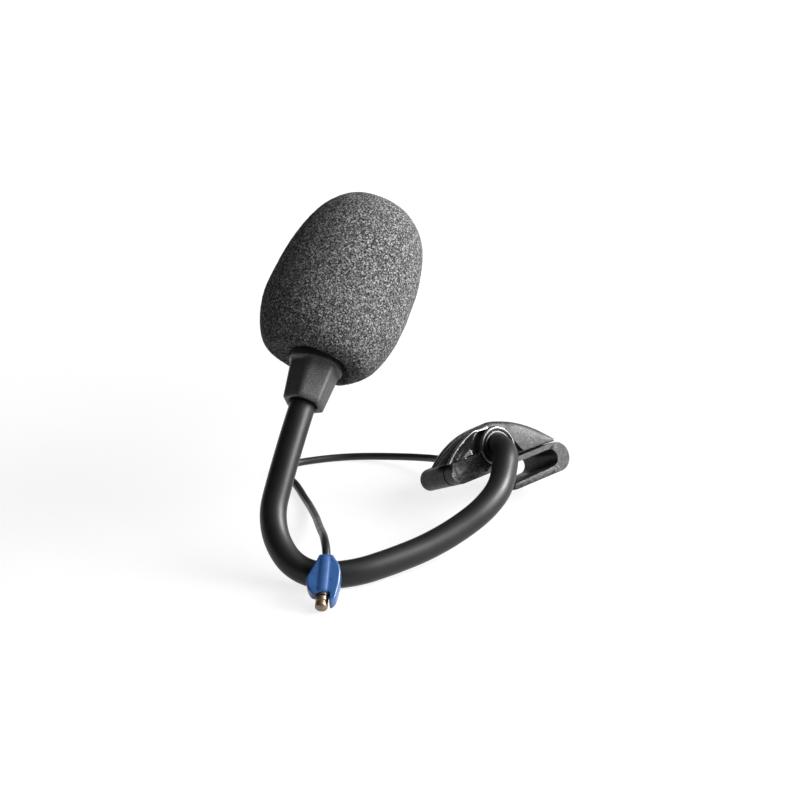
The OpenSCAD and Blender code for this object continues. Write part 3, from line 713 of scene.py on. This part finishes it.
class OBJECT_OT_boom_mic_windscreen(bpy.types.Operator):
    """Build the open-cell foam windscreen"""

    bl_idname = "object.boom_mic_windscreen"
    bl_label = "Windscreen"

    length, radius, mouth, widest, base = 46.8, 18.0, 10.9, 0.31, 9.3
    low_power, top_power = 2 / 1.65, 2 / 2.66
    socket, socket_top, recess, recess_top, recess_low = 5.68, 34.15, 7.35, 11.32, 10.7
    low_rows, top_rows, columns = 42, 76, 220

    def profile(self):
        """Radius and height of the foam's skin, from its mouth to its crown."""
        middle, made = self.length * self.widest, []
        for a in (pi / 2 * i / self.low_rows for i in range(self.low_rows + 1)):
            made.append((self.mouth + (self.radius - self.mouth) * sin(a) ** self.low_power,
                         middle * (1 - max(0.0, cos(a)) ** self.low_power)))
        for a in (pi / 2 * i / self.top_rows for i in range(1, self.top_rows)):
            made.append((self.radius * cos(a) ** self.top_power,
                         middle + (self.length - middle) * sin(a) ** self.top_power))
        return made

    def execute(self, context):
        looks, sizes = context.scene.boom_mic_looks, context.scene.boom_mic_sizes
        fuzz, bulge = sizes.foam_fuzz / MM, 0.35
        hub = turned(0, 0, -41)
        lean = hub @ shifted((-2.2, -0.2, self.base)) @ turned(5, 0, 0) @ turned(0, 10, 0)
        around = [tau * k / self.columns for k in range(self.columns)]
        skin, rings, profile = Skin(), [], self.profile()
        for radius, z in ((self.socket, self.socket_top), (self.socket, self.recess_top),
                          (self.recess, self.recess_top)):
            rings.append(skin.ring([hub @ Vector(p) for p in circle(radius, z, self.columns)]))
        inner = [lean.inverted() @ hub @ Vector(p) for p in circle(self.recess, self.recess_low, self.columns)]
        for share in (0.0, 0.12, 0.3, 0.5, 0.7, 0.86):
            rise, ring = (1 - share) ** 1.8, []
            for p, a in zip(inner, around):
                rim = Vector((self.mouth * cos(a), self.mouth * sin(a), self.lift(self.mouth, a, 0)))
                here = p.lerp(rim, share)
                here.z = p.z * rise + rim.z * (1 - rise) + bulge * sin(pi * share)
                ring.append(lean @ self.uneven(here, Vector((0, 0, -1)), fuzz * 0.6))
            rings.append(skin.ring(ring))
        for (r0, z0), (radius, z), (r1, z1) in zip(profile[:1] + profile, profile, profile[1:] + profile[-1:]):
            slope = Vector((z1 - z0, r0 - r1)).normalized()
            rings.append(skin.ring([
                lean @ self.uneven(Vector((radius * cos(a), radius * sin(a), z + self.lift(radius, a, z))),
                                   Vector((slope.x * cos(a), slope.x * sin(a), slope.y)), fuzz)
                for a in around]))
        skin.cap(rings[0])
        skin.stack(rings, "open")
        skin.pole(rings[-1], lean @ self.uneven(Vector((0, 0, self.length)), Vector((0, 0, 1)), fuzz))
        foam = skin.piece("windscreen_foam", AT_HEAD, 60)
        dress(foam, "windscreen", "foam", foam_finish(looks, sizes), "windscreen")
        return {"FINISHED"}

    @staticmethod
    def lift(radius, angle, z):
        """How far the mouth's low side is pushed up where it meets the neck's flange."""
        side = max(0.0, 0.893 * cos(angle) - 0.45 * sin(angle))
        return 0.2 * radius * side * (1 - smooth_step(9.5, 16.5, radius)) * (1 - smooth_step(2.0, 8.0, z))

    @staticmethod
    def uneven(point, normal, fuzz):
        """A point of the skin moved in or out a little, as cut foam is."""
        fine = noise.noise(point * 1.9) + 0.6 * noise.noise(point * 3.7 + Vector((7, 3, 1)))
        broad = noise.noise(point * 0.13)
        return point + normal * (fuzz * (0.8 * fine - 0.4) + 0.12 * (broad - 0.3))


class OBJECT_OT_boom_mic_clip(bpy.types.Operator):
    """Build the clothing clip: front bezel, domed cover, base, end cap and jaw"""

    bl_idname = "object.boom_mic_clip"
    bl_label = "Clip"

    # Across the clip, a; backwards from its front, e; and up, b.
    left, span = -16.0, 33.6
    left_arc, right_arc = (0, -16.95, 23.75), (-5.2, -22.25, 29.5)  # centre's a and b, and radius
    wing_start, wing = 3.7, ((4.1, 2.7), (7.0, -3.98), (18.3, -4.36))
    draft = tan(radians(4.4))
    bearing, parting = 4.44, 0.04
    bezel_back, cover_front, cover_back = 1.3, 1.35, 9.7
    columns = 120

    def arcs(self, a):
        """The two arcs that the clip's outline blends between, each after its share in it."""
        share = smooth_step(-3.0, 3.0, a)
        return (1 - share, *self.left_arc), (share, *self.right_arc)

    def top(self, a, inset=0.0):
        """Height of the clip's arch above the parting line at a place across it."""
        return sum(share * (y + sqrt(max(0.0, (radius - inset) ** 2 - (a - x) ** 2)))
                   for share, x, y, radius in self.arcs(a))

    def depth_in(self, a, b):
        """Distance inwards from the clip's arch, square to it."""
        return sum(share * (radius - hypot(a - x, b - y)) for share, x, y, radius in self.arcs(a))

    def low(self, a):
        """Height of the lower edge of the clip's upper half at a place across it."""
        if a < -self.bearing:
            return self.parting + 0.26
        if a < self.wing_start:
            return max(self.parting, sqrt(max(0.0, self.bearing ** 2 - a * a)))
        return between(((self.wing_start, sqrt(self.bearing ** 2 - self.wing_start ** 2)), *self.wing), a)

    def seam(self, a):
        """The lower edge of the bezel, which leaves an open line under the wing."""
        if a < self.wing_start:
            return self.low(a)
        return self.low(max(self.wing_start, a - 0.1)) + 0.5 * smooth_step(6.3, 7.3, a)

    def across(self):
        """Places across the clip, closer together where its lower edge turns."""
        marks = [self.left, -15.96, -15.85, -15.6, -15, -self.bearing, -4.3, -4.0, 0, self.wing_start,
                 self.wing[0][0], self.wing[1][0], 18.24]
        fill = [self.left + 0.5 + i * self.span / self.columns for i in range(self.columns)]
        return sorted(set(marks + [a for a in fill if all(abs(a - m) > 0.09 for m in marks)]))

    def execute(self, context):
        looks, sizes = context.scene.boom_mic_looks, context.scene.boom_mic_sizes
        satin = clip_finish(looks)
        self.bezel(looks, sizes.groove / MM)
        dress(self.cover(sizes.groove / MM), "clip", "clip_satin", satin, "clip_cover")
        base = rounded_solid("clip_base", "clip_base_moulding", sizes.edge_round, self.cove())
        dress(base, "clip", "clip_satin", satin)
        dress(rounded_solid("clip_cap", "clip_end_cap", sizes.edge_round * 1.3), "clip", "clip_satin", satin)
        dress(self.jaw(), "jaw", "clip_satin", satin, "clip_jaw")
        return {"FINISHED"}

    def jaw(self):
        """The hairpin's lower leaf, with soft ribs across its inside."""
        root, tip, width, slope, pitch = 14.33, 1.6, 16.0, 0.026, 1.2
        outline = [(root, -10.27), (root, -12.19), (tip, -12.29)]
        outline += [(tip - 0.85 * sin(pi * k / 10), -11.43 - 0.85 * cos(pi * k / 10)) for k in range(1, 11)]
        first_rib = len(outline)
        for run in (0.1 * i for i in range(85)):
            outline.append((2.4 + run, -10.58 + (0.8 + run) * slope + 0.2 * max(0.0, sin(tau * run / pitch))))
        skin, rings = Skin(), []
        edge = ((0.0, 0.34), (0.06, 0.17), (0.18, 0.05), (0.36, 0))
        for e, inset in (*edge, *((width - e, inset) for e, inset in reversed(edge))):
            ring = []
            for i, (a, b) in enumerate(outline):
                (a0, b0), (a1, b1) = outline[i - 1], outline[(i + 1) % len(outline)]
                way = Vector((a1 - a0, b1 - b0)).normalized()
                if i >= first_rib and not 1.0 < e < width - 1.0:
                    way, b = Vector((1, 0.02)), min(b, -10.5 + (a - tip) * slope)
                end = 0.0 if a > 14.3 else inset
                ring.append((a + way.y * end, e, b - way.x * end))
            rings.append(skin.ring(ring))
        skin.stack(rings)
        return skin.piece("clip_jaw_moulding", AT_CLIP, 40)

    def cove(self):
        """The hollow along the base's front, between the barrel and the ring, as a solid to cut it with."""
        depth, middle, half, front = 1.22, -1.3, 2.75, -1.5
        skin, rows, heights = Skin(), [], [-4.6 + 0.2 * k for k in range(31)]
        for a in (-15.2 + 0.25 * i for i in range(61)):
            back = []
            for b in heights:
                bowl = depth * sqrt(max(0.0, 1 - ((b - middle) / half) ** 2))
                bowl *= sqrt(max(0.0, 1 - smooth_step(-12.4, -15.0, a) ** 2)) * smooth_step(5.25, 5.6, hypot(a, b))
                back.append((a, bowl - 0.04, b))
            rows.append(skin.ring(back + [(a, front, b) for b in reversed(heights)]))
        skin.stack(rows)
        return skin.piece("cove_cutter", AT_CLIP)

    def front(self, a, b):
        """How far the bezel's face lies behind its front: a scoop on the left and a moat round the ring."""
        away, inside = hypot(a, b), self.depth_in(a, b)
        rim, reach, scoop_depth, moat_depth = 0.7, 3.0, 1.9, 2.1
        scoop = moat = 0.0
        if a < 0 and inside > rim:
            past = inside - rim - reach
            scoop = scoop_depth * (1 - (past / reach) ** 2 if past < 0 else 1 - 0.2 * (past / 1.5) ** 2)
            scoop *= smooth_step(-15.6, -12.5, a) * smooth_step(-2.0, -6.0, a)
        if away > 4.9:
            moat = moat_depth * smooth_step(2.0, -2.5, a)
            moat *= smooth_step(7.2, 6.75, away) * smooth_step(0.25, 0.9, inside)
        return max(scoop, moat)

    def bezel(self, looks, groove):
        """The front plate: a bright rim and a scoop on the left, a soft shoulder on the right, and the ring."""
        rim = ((0.0, 0.36), (0.05, 0.2), (0.16, 0.07), (0.3, 0.01), (0.42, 0), (0.56, 0.06), (0.64, groove),
               (1.0, groove), (self.bezel_back, groove))
        skin, rows, levels = Skin(), [], 22
        for a in self.across():
            right = smooth_step(-6.0, 0.5, a)
            floor, peak = self.seam(a), self.top(a)
            tall = max(0.02, peak - floor)
            reach = min(3.6, 0.75 * tall)
            reach += (0.97 * tall - reach) * smooth_step(2.0, 6.5, a)
            edge = []
            for k, (e, inset) in enumerate(rim):
                turn = pi / 2 * k / (len(rim) - 1)
                e += (self.bezel_back * (1 - cos(turn)) - e) * right
                inset += (reach * (1 - sin(turn)) - inset) * right
                b = self.top(a, inset) * (1 - right) + (peak - inset) * right - self.draft * e
                edge.append((e, b))
            tall = edge[0][1] - floor
            rise = tall / levels if tall > 0.01 else 0.001
            face = [(self.front(a, b), b) for b in (floor + rise * k for k in range(levels))]
            column = [(a, e, b) for e, b in face] + [(a, e, max(floor + 0.02, b)) for e, b in edge]
            for e, b in reversed(face):
                thick = 3.3 if a < -5.2 and b < floor + 0.7 and peak > 1.2 else self.bezel_back
                column.append((a, max(thick, e + 0.35), b))
            rows.append(skin.ring(column))
        skin.stack(rows)
        plate = len(skin.faces)
        ring = [(4.1, 0.1, 0.1), (4.12, -0.3, 0.25), (4.65, -0.52, 0.5), (5.2, -0.36, 0.5), (5.45, 0.15, 0.3),
                (5.45, 2.4, 0), (4.46, 2.4, 0), (4.46, 0.62, 0), (4.1, 0.62, 0)]
        collar, offset = Skin(), len(skin.points)
        lathe(collar, softened(ring, True, 5), 96)
        skin.points += [tuple(CLIP_TO_SWIVEL @ Vector(p)) for p in collar.points]
        skin.faces += [tuple(i + offset for i in face) for face in collar.faces]
        bezel = skin.piece("clip_front_bezel", AT_CLIP, 42)
        # The glossy plastic's pale edges are part wear, part painted highlight.
        gloss = moulded("Glossy clip plastic", looks.clip_colour, rough=0.22, spread=0.1, patch=6, bump=0.15,
                        depth=0.015, edge_wear_and_sheen=0.35, coat=0.8)
        dress(bezel, "clip", "clip_gloss", gloss, "clip_bezel")
        bezel.data.materials.append(clip_finish(looks))
        inwards = AT_CLIP.inverted() @ Matrix.Scale(1 / MM, 4)
        for face in bezel.data.polygons[:plate]:
            face.material_index = int((inwards @ face.center).x > -1.0)

    def cover(self, groove):
        """The domed cover, with grip lands that fan out to the left and run together at its crown."""
        skin, rows = Skin(), []
        # Where lands turn into grooves and back, at three places across the clip.
        spots, turns = (-16, -10.9, -7.5), ((6.98, 4.0, 2.9), (7.57, 5.2, 4.1), (8.2, 6.7, 5.6), (8.78, 8.0, 7.3))
        for a in self.across():
            depth = groove * smooth_step(-2.5, -8.5, a)
            edge = [(self.cover_front, 0.1 * smooth_step(0, -4, a)), (self.cover_front + 0.12, 0)]
            bands = [between(tuple(zip(spots, turn)), a) for turn in turns]
            for start, end in (bands[:2], bands[2:]):
                edge += [(start - 0.14, 0), (start - 0.03, depth / 6), (start + 0.06, depth),
                         (end - 0.06, depth), (end + 0.03, depth / 6), (end + 0.14, 0)]
            edge += [(9.2, 0), (9.45, 0.05), (9.62, 0.18), (self.cover_back, 0.42)]
            floor = self.low(a) + 0.02
            shell = max(floor + 0.01, self.top(a, 1.3))
            column = [(a, 3.4, floor), (a, 3.4, shell), (a, self.cover_front, shell)]
            column += [(a, e, max(floor + 0.015, self.top(a, inset) - self.draft * e)) for e, inset in edge]
            rows.append(skin.ring([*column, (a, self.cover_back, floor)]))
        skin.stack(rows)
        self.sleeve(skin)
        return skin.piece("clip_grip_cover", AT_CLIP, 42)

    def sleeve(self, skin):
        """The half-round sleeve behind the dome that holds the bearing down."""
        inner, outer, start, end = self.bearing, 5.0, 9.5, 12.0
        arcs = []
        for radius, e in ((inner, start), (outer, start), (outer, end - 0.15), (outer - 0.15, end), (inner, end)):
            arcs.append(skin.ring([(x, e, max(self.parting, b)) for x, b, _ in circle(radius, 0, 64)[:33]]))
        skin.stack(arcs, "joined", closed=False)
        skin.cap([arc[0] for arc in arcs])
        skin.cap([arc[-1] for arc in arcs])


class OBJECT_OT_boom_mic_inner(bpy.types.Operator):
    """Give the parts inside the boom, the plug, the clip and the capsule housing their finishes"""

    bl_idname = "object.boom_mic_inner"
    bl_label = "Inner parts"

    def execute(self, context):
        finishes = {
            ("boom_lead", "friction_washer", "capsule_isolator"): moulded(
                "Black rubber", (0.03, 0.03, 0.03), rough=0.6, grain=0.2, patch=3, bump=0.3),
            ("retaining_ring", "cover_screw_front", "cover_screw_back"): steel_finish(),
            ("capsule_grille",): steel_finish("Grille metal", (0.3, 0.3, 0.31)),
            ("plug_ring",): moulded("Plug insulator", (0.02, 0.02, 0.02), rough=0.4, grain=0.1, bump=0.1),
            ("swivel_bush",): moulded("Bearing plastic", (0.6, 0.6, 0.56), rough=0.35, grain=0.2, patch=3, bump=0.1),
            ("capsule_cup",): moulded(
                "Anodised housing", (0.06, 0.06, 0.06), rough=0.35, grain=0.1, patch=4, bump=0.15, metallic=1.0),
            ("capsule",): moulded(
                "Capsule can", (0.7, 0.7, 0.7), rough=0.28, grain=0.1, patch=3, bump=0.1, metallic=1.0, tint=1.1),
            ("capsule_board",): moulded("Board lacquer", (0.02, 0.12, 0.05), rough=0.4, patch=2, bump=0.2),
        }
        for nodes, finish in finishes.items():
            for materials in (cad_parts[node].data.materials for node in nodes):
                materials.clear()
                materials.append(finish)
        return {"FINISHED"}


class OBJECT_OT_boom_mic_stage(bpy.types.Operator):
    """Build the white floor, the softboxes and the sky"""

    bl_idname = "object.boom_mic_stage"
    bl_label = "Studio"

    def execute(self, context):
        studio = context.scene.boom_mic_studio
        context.scene.view_settings.view_transform = "Standard"
        self.floor(studio)
        self.sky(context, studio)
        self.softbox("Key softbox", studio.key_power, (0.66, -0.06, 0.35), (0.42, 0.6), shine=False)
        self.softbox("Side shine", studio.side_shine, (0.27, -0.05, 0.16), (0.08, 0.15), lit=False)
        self.softbox("High shine", studio.high_shine, (0.26, 0.02, 0.21), (0.07, 0.07), lit=False)
        self.softbox("Fill softbox", studio.fill_power, (0.52, -0.44, 0.5), (0.5, 0.5), shine=False)
        self.flag()
        return {"FINISHED"}

    @staticmethod
    def seen(w):
        """One for rays from the camera, off gloss and through glass, which all see the same white."""
        path = w.add("ShaderNodeLightPath").outputs
        return w.sum("MAXIMUM", w.sum("MAXIMUM", path["Is Camera Ray"], path["Is Glossy Ray"]),
                     path["Is Transmission Ray"])

    def floor(self, studio):
        reach, glow_from, glow_to = 3.0, 0.12, 0.45
        mesh = bpy.data.meshes.new("studio_floor")
        corners = [(-reach, -reach, 0), (reach, -reach, 0), (reach, reach, 0), (-reach, reach, 0)]
        mesh.from_pydata(corners, [], [(0, 1, 2, 3)])
        paper, w, shader = new_finish("White paper")
        fibre = w.group("Fine grain", {"Grain size": 1.5})
        away = w.add("ShaderNodeVectorMath", {0: w.own()}, operation="LENGTH").outputs["Value"]
        glow = w.spread(away, glow_from, glow_to, studio.floor_glow, 1.0)
        w.fill(shader, {
            "Base Color": w.mix(fibre["Patches"], opaque(studio.floor_colour), lighter(studio.floor_colour, 1.01)),
            "Roughness": 0.85,
            "Specular IOR Level": 0.2,
            "Emission Color": (1, 1, 1, 1),
            "Emission Strength": w.sum("MULTIPLY", self.seen(w), glow),
        })
        mesh.materials.append(paper)
        placed("studio_floor", mesh)

    def sky(self, context, studio):
        world = bpy.data.worlds.new("Studio sky")
        world.use_nodes = True
        context.scene.world = world
        w = Wiring(world.node_tree)
        strength = w.spread(self.seen(w), 0.0, 1.0, studio.sky_light, 1.0)
        w.fill(world.node_tree.nodes["Background"], {"Color": (1, 1, 1, 1), "Strength": strength})

    @staticmethod
    def softbox(name, power, place, size, shine=True, lit=True):
        """A lamp turned towards the microphone, which may be kept out of gloss or seen in gloss alone."""
        lamp = bpy.data.lights.new(name, "AREA")
        lamp.shape, lamp.size, lamp.size_y, lamp.energy = "RECTANGLE", *size, power
        box = placed(name, lamp)
        box.location, box.visible_glossy, box.visible_diffuse = place, shine, lit
        box.rotation_euler = (Vector((0, 0, 0.03)) - Vector(place)).to_track_quat("-Z", "Y").to_euler()

    @staticmethod
    def flag():
        """A dark shell above and to the left, seen only in reflections, that keeps black pieces' sides dark."""
        skin, rows, radius, dark = Skin(), [], 1600.0, 0.03
        for up in (radians(4 + 86 * i / 16) for i in range(17)):
            around = [radians(60 + 250 * k / 40) for k in range(41)]
            rows.append(skin.ring([
                (radius * cos(up) * cos(a), radius * cos(up) * sin(a), radius * sin(up)) for a in around]))
        skin.stack(rows, "open", closed=False)
        flag = skin.piece("studio_flag")
        cloth, w, shader = new_finish("Flag cloth")
        weave = w.group("Fine grain", {"Grain size": 4.0})
        w.fill(shader, {
            "Base Color": w.mix(weave["Patches"], (dark, dark, dark, 1), (0.04, 0.04, 0.04, 1)),
            "Emission Color": (1, 1, 1, 1),
            "Emission Strength": dark,
        })
        flag.data.materials.append(cloth)
        flag.visible_camera = flag.visible_diffuse = flag.visible_shadow = flag.visible_transmission = False


# ---- panel ----

SETTINGS = {"boom_mic_looks": BoomMicLooks, "boom_mic_sizes": BoomMicSizes, "boom_mic_studio": BoomMicStudio}
STEPS = (
    OBJECT_OT_boom_mic_camera,
    OBJECT_OT_boom_mic_cord,
    OBJECT_OT_boom_mic_boom,
    OBJECT_OT_boom_mic_windscreen,
    OBJECT_OT_boom_mic_clip,
    OBJECT_OT_boom_mic_inner,
    OBJECT_OT_boom_mic_stage,
)


class VIEW3D_PT_boom_mic(bpy.types.Panel):
    """Lists the steps and settings of the boom microphone"""

    bl_label = "Boom Mic"
    bl_idname = "VIEW3D_PT_boom_mic"
    bl_space_type = "VIEW_3D"
    bl_region_type = "UI"
    bl_category = "Boom Mic"

    def draw(self, context):
        for step in STEPS:
            self.layout.operator(step.bl_idname)
        for settings in (getattr(context.scene, name) for name in SETTINGS):
            box = self.layout.box()
            for name in settings.__annotations__:
                box.prop(settings, name)


CLASSES = (*SETTINGS.values(), *STEPS, VIEW3D_PT_boom_mic)


def register():
    for kind in CLASSES:
        bpy.utils.register_class(kind)
    for name, kind in SETTINGS.items():
        setattr(bpy.types.Scene, name, bpy.props.PointerProperty(type=kind))


def unregister():
    for name in SETTINGS:
        delattr(bpy.types.Scene, name)
    for kind in reversed(CLASSES):
        bpy.utils.unregister_class(kind)


def main():
    register()
    for step in STEPS:
        getattr(bpy.ops.object, step.bl_idname.removeprefix("object."))()


if __name__ == "__main__":
    main()
